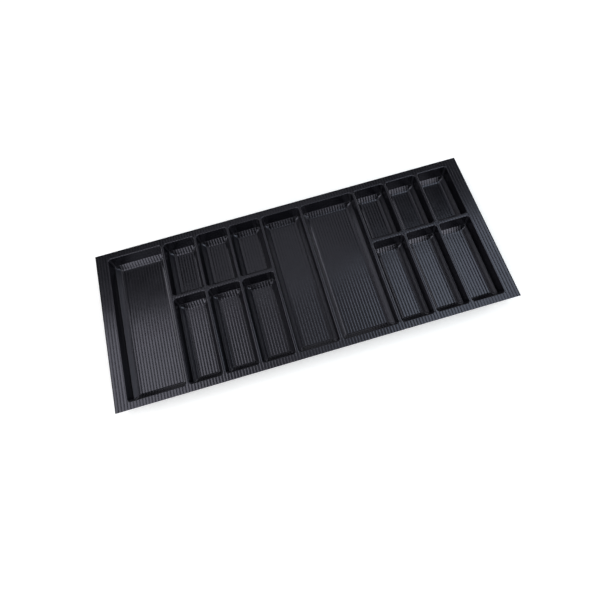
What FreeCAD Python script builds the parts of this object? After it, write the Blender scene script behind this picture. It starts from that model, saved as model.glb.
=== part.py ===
"""Drawer tray: one thermoformed sheet, with a flat flange round fifteen compartments.

Millimetres. +X runs along the tray, +Y towards its back and +Z up. The origin is at the middle
of the footprint, on the surface that the compartment floors rest on.
"""
import FreeCAD
import Part

import math
import os

# sheet and overall height
sheet = 1.5
tray_height = 50.0

# flange, from the trimmed edge to the first opening
side_flange = 37.5
front_flange = 21.0
back_flange = 21.0

# openings: full-depth columns, and narrow columns in groups that a cross divider splits in two
wide_column = 166.0
narrow_column = 97.0
middle_column = 121.0
narrow_columns_in_group = 3
front_row = 261.0
back_row = 177.0
column_divider = 7.5
row_divider = 10.0

# compartment: a steep drafted wall, then a bevel down to the floor
side_draft_deg = 5.3
end_draft_deg = 13.0
bevel_run = 13.5
bevel_rise = 12.5
opening_corner_radius = 8.0
foot_corner_radius = 7.0
floor_corner_radius = 4.0
rim_break = 1.5

# reeds: ridges side by side, embossed front to back in the sheet before it is formed
reed_pitch = 8.7
reed_height = 0.6
valley_height = 0.1
reed_root = 0.5
reed_gap = 0.001

# heights of the sheet's upper face
floor_z = sheet
foot_z = floor_z + bevel_rise
flange_z = tray_height - reed_height

# slopes, and how far the steep walls come in on the way down
quarter_turn = 90.0
bevel_angle = math.atan2(bevel_rise, bevel_run)
side_draft = math.radians(side_draft_deg)
end_draft = math.radians(end_draft_deg)
side_run = (flange_z - foot_z) * math.tan(side_draft)
end_run = (flange_z - foot_z) * math.tan(end_draft)

# outline, from the columns and rows inside it
narrow_group = [narrow_column] * narrow_columns_in_group
column_widths = [wide_column, *narrow_group, middle_column, wide_column, *narrow_group]
columns_length = sum(column_widths) + column_divider * (len(column_widths) - 1)
tray_length = columns_length + 2 * side_flange
tray_depth = front_flange + front_row + row_divider + back_row + back_flange
x_end = tray_length / 2
y_end = tray_depth / 2
y_front = front_flange - y_end
y_back = y_end - back_flange

# a whole number of reeds fills the length
reed_count = round(tray_length / reed_pitch)
reed_width = tray_length / reed_count
reed_grip = 0.8 * sheet


def opening_spans():
    """Plan rectangle (x0, x1, y0, y1) of every compartment's opening."""
    rows = [(y_front, y_front + front_row), (y_back - back_row, y_back)]
    spans = []
    x = side_flange - x_end
    for width in column_widths:
        for y0, y1 in rows if width == narrow_column else [(y_front, y_back)]:
            spans.append((x, x + width, y0, y1))
        x += width + column_divider
    return spans


def ring(span, x_inset, y_inset, radius, z):
    """Edges of a rounded rectangle drawn in from a span: corner arc and side in turn."""
    x0, x1, y0, y1 = span
    x0, x1 = x0 + x_inset, x1 - x_inset
    y0, y1 = y0 + y_inset, y1 - y_inset
    corners = [(x1, y0, -1, 1), (x1, y1, -1, -1), (x0, y1, 1, -1), (x0, y0, 1, 1)]
    up = FreeCAD.Vector(0, 0, 1)
    arcs = []
    for quarter, (x, y, inward_x, inward_y) in enumerate(corners):
        centre = FreeCAD.Vector(x + inward_x * radius, y + inward_y * radius, z)
        start = quarter_turn * (quarter - 1)
        arcs.append(Part.makeCircle(radius, centre, up, start, start + quarter_turn))
    edges = []
    for arc, following in zip(arcs, arcs[1:] + arcs[:1]):
        side = Part.LineSegment(arc.Vertexes[-1].Point, following.Vertexes[0].Point)
        edges += [arc, side.toShape()]
    return edges


def band(lower, upper):
    """Faces from one ring up to the next: flat panels, and ruled corners."""
    faces = []
    for below, above in zip(lower, upper):
        if isinstance(below.Curve, Part.Line):
            points = [corner.Point for corner in below.Vertexes + above.Vertexes[::-1]]
            faces.append(Part.Face(Part.makePolygon(points + points[:1])))
        else:
            faces.append(Part.makeRuledSurface(below, above))
    return faces


def stack(rings):
    """Solid through rings that lie one above another."""
    faces = [Part.Face(Part.Wire(rings[0])), Part.Face(Part.Wire(rings[-1]))]
    for lower, upper in zip(rings, rings[1:]):
        faces += band(lower, upper)
    shell = Part.Shell(faces)
    shell.sewShape()
    solid = Part.Solid(shell)
    if solid.Volume < 0:
        solid.reverse()
    return solid


def pocket(span):
    """The space inside a compartment, with the broken edge of its opening."""
    x_floor = side_run + bevel_run
    y_floor = end_run + bevel_run
    return stack([
        ring(span, x_floor, y_floor, floor_corner_radius, floor_z),
        ring(span, side_run, end_run, foot_corner_radius, foot_z),
        ring(span, 0, 0, opening_corner_radius, flange_z - rim_break),
        ring(span, -rim_break, -rim_break, opening_corner_radius + rim_break, flange_z),
    ])


def cup(span):
    """The outside of a compartment, the sheet's thickness beyond its pocket."""
    draft = (side_draft + end_draft) / 2
    turn = 1 + math.sin(draft + bevel_angle)
    foot_out = sheet * (math.cos(draft) + math.sin(bevel_angle)) / turn
    foot_down = sheet * (math.sin(draft) + math.cos(bevel_angle)) / turn
    floor_out = sheet * math.tan(bevel_angle / 2)
    x_floor = side_run + bevel_run - floor_out
    y_floor = end_run + bevel_run - floor_out
    x_foot = side_run - foot_out
    y_foot = end_run - foot_out
    return stack([
        ring(span, x_floor, y_floor, floor_corner_radius + floor_out, floor_z - sheet),
        ring(span, x_foot, y_foot, foot_corner_radius + foot_out, foot_z - foot_down),
        ring(span, -sheet, -sheet, opening_corner_radius + sheet, flange_z - sheet / 2),
    ])


def reed_centres(x_from, x_to):
    """The x of each reed that lies whole between two x."""
    centres = [(number + 0.5) * reed_width - x_end for number in range(reed_count)]
    half = reed_width / 2 - reed_gap
    return [x for x in centres if x - half > x_from and x + half < x_to]


def reeds(centres, start, end):
    """Neighbouring reeds on the sheet's upper face, from start to end, each a point (y, z)."""
    if not centres:
        return []
    half = reed_width / 2
    section = [(centres[0] - half, -reed_root), (centres[0] - half, valley_height)]
    for x in centres:
        section += [(x, reed_height), (x + half, valley_height)]
    section.append((centres[-1] + half, -reed_root))
    run = FreeCAD.Vector(0, end[0] - start[0], end[1] - start[1])
    outward = FreeCAD.Vector(0, -run.z, run.y).normalize()
    points = [FreeCAD.Vector(x, *start) + outward * rise for x, rise in section]
    return [Part.Face(Part.makePolygon(points + points[:1])).extrude(run)]


def flange_reeds():
    """Reeds down both side flanges, and across the front and back flanges between them."""
    x_opening = x_end - side_flange + rim_break
    front_edge = (-y_end, flange_z)
    back_edge = (y_end, flange_z)
    left = reed_centres(-x_end - reed_width, -x_opening)
    right = reed_centres(x_opening, x_end + reed_width)
    between = reed_centres(left[-1], right[0])
    shapes = reeds(left, front_edge, back_edge) + reeds(right, front_edge, back_edge)
    shapes += reeds(between, front_edge, (y_front - rim_break, flange_z))
    shapes += reeds(between, (y_back + rim_break, flange_z), back_edge)
    return shapes


def cross_divider_reeds(spans):
    """Reeds over the top of the cross divider in each group of narrow columns."""
    front_openings = [span for span in spans if span[3] < y_back]
    start = (y_front + front_row + rim_break, flange_z)
    end = (y_back - back_row - rim_break, flange_z)
    shapes = []
    for first in range(0, len(front_openings), narrow_columns_in_group):
        group = front_openings[first:first + narrow_columns_in_group]
        shapes += reeds(reed_centres(group[0][0], group[-1][1]), start, end)
    return shapes


def floor_reeds(span):
    """Reeds down the front bevel, along the floor and up the back bevel of a compartment."""
    x0, x1, y0, y1 = span
    inset = side_run + bevel_run + floor_corner_radius
    centres = reed_centres(x0 + inset, x1 - inset)
    grip_y = reed_grip * math.cos(bevel_angle)
    grip_z = reed_grip * math.sin(bevel_angle)
    top, bottom = foot_z + grip_z, floor_z - grip_z
    front_foot, back_foot = y0 + end_run, y1 - end_run
    front_floor, back_floor = front_foot + bevel_run, back_foot - bevel_run
    shapes = reeds(centres, (front_foot - grip_y, top), (front_floor + grip_y, bottom))
    shapes += reeds(centres, (front_floor - reed_grip, floor_z), (back_floor + reed_grip, floor_z))
    shapes += reeds(centres, (back_floor - grip_y, bottom), (back_foot + grip_y, top))
    return shapes


def tray():
    """Flange and cups joined, hollowed by the pockets, with the reeds on the upper face."""
    spans = opening_spans()
    corner = FreeCAD.Vector(-x_end, -y_end, flange_z - sheet)
    flange = Part.makeBox(tray_length, tray_depth, sheet, corner)
    blank = flange.fuse([cup(span) for span in spans])
    formed = blank.cut([pocket(span) for span in spans])
    ridges = flange_reeds() + cross_divider_reeds(spans)
    for span in spans:
        ridges += floor_reeds(span)
    return formed.fuse(ridges).removeSplitter().Solids[0]


os.makedirs("parts", exist_ok=True)
tray().exportStep("parts/tray.step")
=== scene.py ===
"""Drawer tray: one thermoformed sheet of black plastic, reeded from front to back.

Metres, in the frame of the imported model: +X runs along the tray, +Y towards its back and
+Z up. The tray stands on the floor z = 0.
"""

import math

import bmesh
import bpy
from mathutils import Matrix, Vector


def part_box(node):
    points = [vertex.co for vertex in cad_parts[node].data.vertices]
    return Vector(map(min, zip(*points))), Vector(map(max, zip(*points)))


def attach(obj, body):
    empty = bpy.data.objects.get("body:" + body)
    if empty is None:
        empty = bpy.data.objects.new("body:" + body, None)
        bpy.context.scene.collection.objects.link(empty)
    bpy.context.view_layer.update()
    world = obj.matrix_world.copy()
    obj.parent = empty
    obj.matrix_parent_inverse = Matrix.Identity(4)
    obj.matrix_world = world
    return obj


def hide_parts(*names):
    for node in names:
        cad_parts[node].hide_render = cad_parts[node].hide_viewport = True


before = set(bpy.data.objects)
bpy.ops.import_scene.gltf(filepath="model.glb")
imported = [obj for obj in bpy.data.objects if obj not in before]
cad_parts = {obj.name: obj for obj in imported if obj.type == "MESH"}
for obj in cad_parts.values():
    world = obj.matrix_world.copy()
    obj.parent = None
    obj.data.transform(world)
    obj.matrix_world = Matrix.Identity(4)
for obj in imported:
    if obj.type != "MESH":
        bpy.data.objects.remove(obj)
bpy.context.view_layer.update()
low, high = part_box("tray")

# sheet and flange
sheet = 0.0015
side_flange = 0.0375
front_flange = 0.021
back_flange = 0.021

# openings: full-depth columns, and narrow columns in groups that a cross divider splits in two
wide_column = 0.166
narrow_column = 0.097
middle_column = 0.121
narrow_columns_in_group = 3
narrow_group = [narrow_column] * narrow_columns_in_group
column_widths = [wide_column, *narrow_group, middle_column, wide_column, *narrow_group]
back_row = 0.177
column_divider = 0.0075
row_divider = 0.010

# compartment: a steep drafted wall, then a bevel down to the floor
side_draft = math.radians(5.3)
end_draft = math.radians(13.0)
bevel_run = 0.0135
bevel_rise = 0.0125
opening_corner_radius = 0.008
foot_corner_radius = 0.007
floor_corner_radius = 0.004
rim_round = 0.002
foot_round = 0.006
floor_round = 0.01

# reeds: ridges side by side from front to back, a whole number of them in the length
reed_pitch = 0.0087
reed_height = 0.0006
valley_height = 0.0001
reed_fullness = 3
end_wall_reed = 0.4

# how far over a wall leans, as the level part of its normal, where forming starts to draw its
# reeds flat and where they are gone
side_wall_lean = (0.72, 0.96)
end_wall_lean = (0.75, 0.95)

# fineness of the mesh: lines along a reed, as shares of its width, are closer at its edges
reed_lines = (0.0, 0.07, 0.14, 0.28, 0.5, 0.72, 0.86, 0.93)
steps_per_corner = 7
steps_per_round = 4
sharp_edge = math.radians(40)

# points are one where they agree to so many decimals or lie within this distance, and a line
# this near a face's end doesn't cut it
shared_decimals = 7
merge_within = 1e-5
tolerance = 1e-9

# heights and lines that follow from them
flange_z = high.z - reed_height
floor_z = low.z + sheet
foot_z = floor_z + bevel_rise
y_front = low.y + front_flange
y_back = high.y - back_flange
y_row = y_back - back_row - row_divider / 2
reed_width = (high.x - low.x) / round((high.x - low.x) / reed_pitch)


# ---------------------------------------------------------------- section of a compartment

def rounded(points, radii):
    """A line of points (inset, height) with its inner corners rounded, each point with the
    outward normal there."""
    out = []
    for before, corner, after, radius in zip(points, points[1:], points[2:], radii):
        into = (corner - before).normalized()
        onward = (after - corner).normalized()
        turn = into.angle_signed(onward)
        tangent = radius * math.tan(abs(turn) / 2)
        start = corner - into * tangent
        side = Vector((-into.y, into.x))
        centre = start - side * math.copysign(radius, turn)
        for step in range(steps_per_round + 1):
            angle = -turn * step / steps_per_round
            arm = Matrix.Rotation(angle, 2) @ (start - centre)
            normal = Matrix.Rotation(angle, 2) @ side
            out.append((centre + arm, normal))
    return out


def section(draft):
    """Half section of a compartment, from the flange over the rim and down to the floor."""
    wall_run = (flange_z - foot_z) * math.tan(draft)
    corners = [
        Vector((-side_flange, flange_z)),
        Vector((0.0, flange_z)),
        Vector((wall_run, foot_z)),
        Vector((wall_run + bevel_run, floor_z)),
        Vector((wall_run + bevel_run + side_flange, floor_z)),
    ]
    return rounded(corners, [rim_round, foot_round, floor_round])


side_section = section(side_draft)
end_section = section(end_draft)


def corner_radius(height):
    """Plan radius of a compartment's corners at a height."""
    if height > foot_z:
        share = (height - foot_z) / (flange_z - foot_z)
        return foot_corner_radius + share * (opening_corner_radius - foot_corner_radius)
    share = (height - floor_z) / bevel_rise
    return floor_corner_radius + share * (foot_corner_radius - floor_corner_radius)


def fade(value, start, end):
    """1 up to the start, 0 from the end on, and smooth between them."""
    share = min(max((value - start) / (end - start), 0.0), 1.0)
    return 1 - share * share * (3 - 2 * share)


def reed_lift(normal):
    """How far a reed stands out of the sheet there, as a vector: drawn flat on steep walls."""
    across = fade(abs(normal.x), *side_wall_lean)
    along = fade(abs(normal.y), *end_wall_lean)
    return normal * across * (end_wall_reed + (1 - end_wall_reed) * along)


def ring(span, side, end, depth):
    """Points round a compartment, counterclockwise, at one place of its section and a depth
    into the sheet. Each is a position and a reed's lift there."""
    x0, x1, y0, y1 = span
    (side_inset, side_z), (end_inset, end_z) = side[0], end[0]
    radius = corner_radius(side_z) + max(0.0, -side_inset)
    corners = [(x1, y0, 1, -1), (x1, y1, 1, 1), (x0, y1, -1, 1), (x0, y0, -1, -1)]
    points = []
    for number, (x, y, out_x, out_y) in enumerate(corners):
        centre_x = x - out_x * (side_inset + radius)
        centre_y = y - out_y * (end_inset + radius)
        for step in range(steps_per_corner + 1):
            angle = math.radians(90 * (number - 1 + step / steps_per_corner))
            facing = Vector((math.cos(angle), math.sin(angle)))
            share = facing.x ** 2
            level = side_z * share + end_z * (1 - share)
            slope = side[1] * share + end[1] * (1 - share)
            normal = Vector((-facing.x * slope.x, -facing.y * slope.x, slope.y)).normalized()
            place = Vector((centre_x + radius * facing.x, centre_y + radius * facing.y, level))
            if depth:
                points.append((*(place - normal * depth), 0.0, 0.0, 0.0))
            else:
                points.append((*place, *reed_lift(normal)))
    return points


# ---------------------------------------------------------------- faces of the sheet

def compartments():
    """Every opening's rectangle, with the rectangle of sheet round it out to the middle of the
    dividers or the trimmed edge."""
    rows = [(y_front, y_row - row_divider / 2, low.y, y_row),
            (y_row + row_divider / 2, y_back, y_row, high.y)]
    full = [(y_front, y_back, low.y, high.y)]
    found = []
    x = low.x + side_flange
    for number, width in enumerate(column_widths):
        left = low.x if number == 0 else x - column_divider / 2
        right = high.x if number == len(column_widths) - 1 else x + width + column_divider / 2
        for y0, y1, front, back in rows if width == narrow_column else full:
            found.append(((x, x + width, y0, y1), (left, right, front, back)))
        x += width + column_divider
    return found


def flange_faces(rim, cell, depth):
    """The flat of the flange between a rim and its cell's edges."""
    left, right, front, back = cell
    level = flange_z - depth
    lift = (0.0, 0.0, 0.0) if depth else (0.0, 0.0, 1.0)
    corners = [(x, y, level, *lift)
               for x, y in [(right, front), (right, back), (left, back), (left, front)]]
    halfway = {(0, 1): (right, y_row, level, *lift), (2, 3): (left, y_row, level, *lift)}
    count = steps_per_corner + 1
    faces = []
    for number, corner in enumerate(corners):
        arc = rim[number * count:(number + 1) * count]
        faces += [[corner, after, before] for before, after in zip(arc, arc[1:])]
        following = (number + 1) % 4
        face = [corner, corners[following], rim[following * count], arc[-1]]
        if (number, following) in halfway and front < y_row < back:
            face.insert(1, halfway[number, following])
        faces.append(face)
    return faces


def skin(span, cell, depth):
    """One side of the sheet over a cell: flange, rim, walls, bevels and floor."""
    rings = [ring(span, side, end, depth) for side, end in zip(side_section, end_section)]
    faces = flange_faces(rings[0], cell, depth)
    for outer, inner in zip(rings, rings[1:]):
        for number in range(len(outer)):
            following = (number + 1) % len(outer)
            faces.append([outer[number], outer[following], inner[following], inner[number]])
    faces.append(rings[-1])
    return faces


def cut(face, x):
    """The parts of a flat face before and after a line x."""
    before, after = [], []
    for start, end in zip(face, face[1:] + face[:1]):
        if start[0] <= x:
            before.append(start)
        if start[0] >= x:
            after.append(start)
        if (start[0] < x < end[0]) or (end[0] < x < start[0]):
            a, b = sorted((start, end))
            share = (x - a[0]) / (b[0] - a[0])
            crossing = (x, *(p + (q - p) * share for p, q in zip(a[1:], b[1:])))
            before.append(crossing)
            after.append(crossing)
    return before, after


def lines_between(x_from, x_to):
    """The x of every line of the reeds strictly between two x."""
    first = math.floor((x_from - low.x) / reed_width)
    last = math.ceil((x_to - low.x) / reed_width)
    lines = [low.x + (number + place) * reed_width
             for number in range(first, last + 1) for place in reed_lines]
    return [x for x in lines if x_from + tolerance < x < x_to - tolerance]


def strips(face):
    """A face cut along the lines of the reeds."""
    across = [point[0] for point in face]
    parts = []
    for x in lines_between(min(across), max(across)):
        before, face = cut(face, x)
        parts.append(before)
    return [*parts, face]


def trimmed_edges(cell):
    """The sheet's cut edge, where a cell lies along it."""
    left, right, front, back = cell
    faces = []
    bottom = flange_z - sheet
    for y, sign in [(low.y, 1), (high.y, -1)]:
        if y in (front, back):
            ends = [left, *lines_between(left, right), right][::-sign]
            faces.append([(x, y, flange_z, 0.0, 0.0, 1.0) for x in ends]
                         + [(x, y, bottom, 0.0, 0.0, 0.0) for x in (ends[-1], ends[0])])
    for x, sign in [(low.x, -1), (high.x, 1)]:
        if x in (left, right):
            ends = [front, back] if not front < y_row < back else [front, y_row, back]
            ends = ends[::-sign]
            faces.append([(x, y, flange_z, 0.0, 0.0, 1.0) for y in ends]
                         + [(x, y, bottom, 0.0, 0.0, 0.0) for y in ends[::-1]])
    return faces


def reed_rise(x):
    """Height of the reeds over the sheet along the tray: full tops between narrow valleys."""
    place = ((x - low.x) / reed_width) % 1.0
    off_centre = abs(2 * place - 1)
    return valley_height + (reed_height - valley_height) * (1 - off_centre ** reed_fullness)


def close_up(mesh):
    """Merge points that all but coincide, such as where a reed's line passes a corner's point."""
    joined = bmesh.new()
    joined.from_mesh(mesh)
    bmesh.ops.remove_doubles(joined, verts=joined.verts[:], dist=merge_within)
    joined.to_mesh(mesh)
    joined.free()
    mesh.validate()


def tray_mesh():
    """The whole sheet as one closed mesh."""
    faces = []
    for span, cell in compartments():
        for face in skin(span, cell, 0.0):
            faces += strips(face)
        faces += [face[::-1] for face in skin(span, cell, sheet)]
        faces += trimmed_edges(cell)
    numbers = {}
    points = []
    polygons = []
    for face in faces:
        polygon = []
        for x, y, z, *lift in face:
            key = tuple(round(number, shared_decimals) for number in (x, y, z))
            if key not in numbers:
                numbers[key] = len(points)
                points.append(Vector((x, y, z)) + Vector(lift) * reed_rise(x))
            if numbers[key] not in polygon:
                polygon.append(numbers[key])
        if len(polygon) > 2:
            polygons.append(polygon)
    mesh = bpy.data.meshes.new("tray_sheet")
    mesh.from_pydata(points, [], polygons)
    close_up(mesh)
    mesh.polygons.foreach_set("use_smooth", [True] * len(mesh.polygons))
    mesh.set_sharp_from_angle(angle=sharp_edge)
    return mesh


# ---------------------------------------------------------------- materials

# plastic: near black with a cool sheen, a little uneven in colour and gloss
plastic_ior = 1.58
plastic_sheen = (0.84, 0.84, 1.0, 1.0)
plastic_darkest = (0.0035, 0.0035, 0.005, 1.0)
plastic_lightest = (0.006, 0.006, 0.008, 1.0)
satin_roughness = (0.16, 0.21)

# grain pressed into the sheet
grain_strength = 0.05
grain_depth = 0.0002

# noise: cells per metre and detail of each kind, and the range that most of its values lie in
colour_noise = (9, 3)
gloss_noise = (25, 4)
grain_noise = (1400, 2)
noise_range = (0.3, 0.7)

# side bevels and side walls, found by the sideways part of their normal: forming makes the
# bevels rougher, and the walls reflect less, which is painted shade
bevel_lean = (0.42, 0.6)
wall_lean = (0.85, 0.97)
bevel_roughness = 0.4
reflection = 0.5
# painted shade: the side walls' reflection level, turned down so that they look shaded
painted_shade_reflection = 0.15

# floor: it glows more away from the tray, where the lamps don't reach
floor_colour = (0.9, 0.9, 0.9, 1.0)
floor_roughness = 0.8
glow_distance = (0.7, 3.5)
glow_strength = (0.38, 0.8)

white = (1.0, 1.0, 1.0, 1.0)


class Tree:
    """The nodes of a material or world, with short ways to add them."""

    def __init__(self, owner):
        owner.use_nodes = True
        self.nodes = owner.node_tree.nodes
        self.links = owner.node_tree.links

    def fill(self, node, inputs):
        """Give each input of a node its value, or the output that feeds it."""
        for name, value in inputs.items():
            if isinstance(value, bpy.types.NodeSocket):
                self.links.new(value, node.inputs[name])
            else:
                node.inputs[name].default_value = value

    def add(self, kind, inputs=None, **settings):
        """A new node with these settings and inputs."""
        node = self.nodes.new(kind)
        for name, value in settings.items():
            setattr(node, name, value)
        self.fill(node, inputs or {})
        return node

    def noise(self, place, kind):
        """Noise over the object."""
        scale, detail = kind
        inputs = {"Vector": place, "Scale": scale, "Detail": detail}
        return self.add("ShaderNodeTexNoise", inputs).outputs["Fac"]

    def ranged(self, value, before, after, interpolation="LINEAR"):
        """A value mapped from one range to another, and held at its ends."""
        inputs = {"Value": value, "From Min": before[0], "From Max": before[1],
                  "To Min": after[0], "To Max": after[1]}
        node = self.add("ShaderNodeMapRange", inputs, interpolation_type=interpolation)
        return node.outputs["Result"]

    def worked_out(self, operation, *values, clamp=False):
        """One value worked out from others."""
        inputs = dict(enumerate(values))
        node = self.add("ShaderNodeMath", inputs, operation=operation, use_clamp=clamp)
        return node.outputs["Value"]

    def mixed(self, share, first, second, kind="FLOAT"):
        """A value or colour that goes from the first to the second as the share goes to 1."""
        inputs = {"Factor": share, "A": first, "B": second}
        return self.add("ShaderNodeMix", inputs, data_type=kind).outputs["Result"]


def bevel_stretch_and_wall_shade(tree, normal):
    """Shares of side bevel, where forming draws the sheet across its reeds, and of side wall,
    where the reflection is turned down as painted shade.
    """
    parts = tree.add("ShaderNodeSeparateXYZ", {"Vector": normal})
    sideways = tree.worked_out("ABSOLUTE", parts.outputs["X"])
    steep = tree.ranged(sideways, bevel_lean, (0, 1), "SMOOTHSTEP")
    wall = tree.ranged(sideways, wall_lean, (0, 1), "SMOOTHSTEP")
    return tree.worked_out("SUBTRACT", steep, wall), wall


def black_plastic():
    """Satin black sheet with a fine grain, rougher on its side bevels where forming drew it, and
    with painted shade on its side walls, which reflect less.
    """
    material = bpy.data.materials.new("tray_plastic")
    tree = Tree(material)
    coordinates = tree.add("ShaderNodeTexCoord").outputs
    place = coordinates["Object"]
    bevel, wall = bevel_stretch_and_wall_shade(tree, coordinates["Normal"])
    patches = tree.ranged(tree.noise(place, colour_noise), noise_range, (0, 1))
    satin = tree.ranged(tree.noise(place, gloss_noise), noise_range, satin_roughness)
    grain = tree.add("ShaderNodeBump", {"Strength": grain_strength, "Distance": grain_depth,
                                        "Height": tree.noise(place, grain_noise)})
    tree.fill(tree.nodes["Principled BSDF"], {
        "Base Color": tree.mixed(patches, plastic_darkest, plastic_lightest, "RGBA"),
        "Roughness": tree.mixed(bevel, satin, bevel_roughness),
        "IOR": plastic_ior,
        # painted shade: the side walls reflect less than the rest of the sheet
        "Specular IOR Level": tree.ranged(wall, (0, 1), (reflection, painted_shade_reflection)),
        "Specular Tint": plastic_sheen,
        "Normal": grain.outputs["Normal"],
    })
    return material


def pale_floor():
    """White floor that keeps the tray's shadow."""
    material = bpy.data.materials.new("studio_floor")
    tree = Tree(material)
    rays = tree.add("ShaderNodeLightPath").outputs
    seen = tree.worked_out("ADD", rays["Is Camera Ray"], rays["Is Glossy Ray"], clamp=True)
    seen = tree.worked_out("ADD", seen, rays["Is Transmission Ray"], clamp=True)
    place = tree.add("ShaderNodeTexCoord").outputs["Object"]
    distance = tree.add("ShaderNodeVectorMath", {0: place}, operation="LENGTH")
    glow = tree.ranged(distance.outputs["Value"], glow_distance, glow_strength, "SMOOTHSTEP")
    tree.fill(tree.nodes["Principled BSDF"], {
        "Base Color": floor_colour,
        "Roughness": floor_roughness,
        "Emission Color": white,
        "Emission Strength": tree.worked_out("MULTIPLY", seen, glow),
    })
    return material


# ---------------------------------------------------------------- studio

# half the width of the floor
floor_half = 20.0

# heights of the overhead and side lamps over the floor, and the colours of the lamps
overhead_z = 2.2
side_z = 1.1
neutral = (1.0, 1.0, 1.0)
cool = (0.85, 0.95, 1.0)

# room: the upward part of a direction where its walls start to darken and where its ceiling
# starts, and the brightness of both
wall_to_ceiling = (0.3, 0.5)
room_brightness = (0.9, 0.05)


def floor():
    """Wide plane that the tray stands on."""
    mesh = bpy.data.meshes.new("studio_floor")
    corners = [(x * floor_half, y * floor_half, low.z)
               for x, y in [(-1, -1), (1, -1), (1, 1), (-1, 1)]]
    mesh.from_pydata(corners, [], [(0, 1, 2, 3)])
    mesh.materials.append(pale_floor())
    plane = bpy.data.objects.new("studio_floor", mesh)
    bpy.context.collection.objects.link(plane)


def softbox(name, place, target, size, radiance, colour=neutral):
    """A rectangular lamp that faces a point, as bright as a surface of that radiance."""
    width, height = size
    lamp = bpy.data.lights.new(name, "AREA")
    lamp.color = colour
    lamp.shape = "RECTANGLE"
    lamp.size = width
    lamp.size_y = height
    lamp.energy = radiance * math.pi * width * height
    box = bpy.data.objects.new(name, lamp)
    facing = (Vector(target) - Vector(place)).to_track_quat("-Z", "Y")
    box.matrix_world = Matrix.Translation(place) @ facing.to_matrix().to_4x4()
    bpy.context.collection.objects.link(box)


def overhead(name, x, y, size, radiance, colour=neutral):
    """A softbox over the tray that faces straight down."""
    softbox(name, (x, y, overhead_z), (x, y, 0.0), size, radiance, colour)


def lights():
    """Long softboxes overhead, and lower ones to the sides and in front."""
    overhead("overhead_left", -1.35, -0.4, size=(1.05, 2.8), radiance=2.6)
    overhead("overhead_front", 0.0, 0.15, size=(1.4, 1.2), radiance=0.33)
    overhead("overhead_back", 0.0, 1.2, size=(1.5, 0.8), radiance=0.66)
    overhead("overhead_right", 1.35, -0.4, size=(1.05, 2.8), radiance=2.5, colour=cool)
    for name, x in [("side_left", -2.6), ("side_right", 2.6)]:
        softbox(name, (x, 0.8, side_z), (0.0, 0.8, side_z), size=(2.2, 1.5), radiance=1.7)
    for name, side, radiance in [("front_left", -1, 3.2), ("front_right", 1, 3.0)]:
        softbox(name, (side * 1.75, -2.5, 1.4), (side, 0.0, 0.0), size=(1.2, 1.3),
                radiance=radiance)


def room():
    """Pale walls round the studio, up to a dim ceiling."""
    world = bpy.data.worlds.new("room")
    tree = Tree(world)
    direction = tree.add("ShaderNodeTexCoord").outputs["Generated"]
    parts = tree.add("ShaderNodeSeparateXYZ", {"Vector": direction})
    brightness = tree.ranged(parts.outputs["Z"], wall_to_ceiling, room_brightness, "SMOOTHSTEP")
    tree.fill(tree.nodes["Background"], {"Color": white, "Strength": brightness})
    bpy.context.scene.world = world


def camera():
    """Camera in front of the tray and above it, looking steeply down and a little turned."""
    place = Vector((-0.0464, -0.4942, 1.1953))
    target = Vector((-0.0006, -0.1060, 0.05))
    roll = math.radians(-9.694)
    lens = bpy.data.cameras.new("camera")
    lens.sensor_width = 36.0
    lens.lens = 24.626
    eye = bpy.data.objects.new("camera", lens)
    facing = (target - place).to_track_quat("-Z", "Y").to_matrix().to_4x4()
    eye.matrix_world = Matrix.Translation(place) @ facing @ Matrix.Rotation(roll, 4, "Z")
    bpy.context.collection.objects.link(eye)
    bpy.context.scene.camera = eye


def tray():
    """The tray's sheet, in place of the plain CAD solid."""
    mesh = tray_mesh()
    mesh.materials.append(black_plastic())
    piece = bpy.data.objects.new("tray_sheet", mesh)
    bpy.context.collection.objects.link(piece)
    weighting = piece.modifiers.new("normals_by_face_area", "WEIGHTED_NORMAL")
    weighting.keep_sharp = True
    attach(piece, "root")
    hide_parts("tray")


camera()
floor()
lights()
room()
tray()
bpy.context.scene.view_settings.view_transform = "Standard"
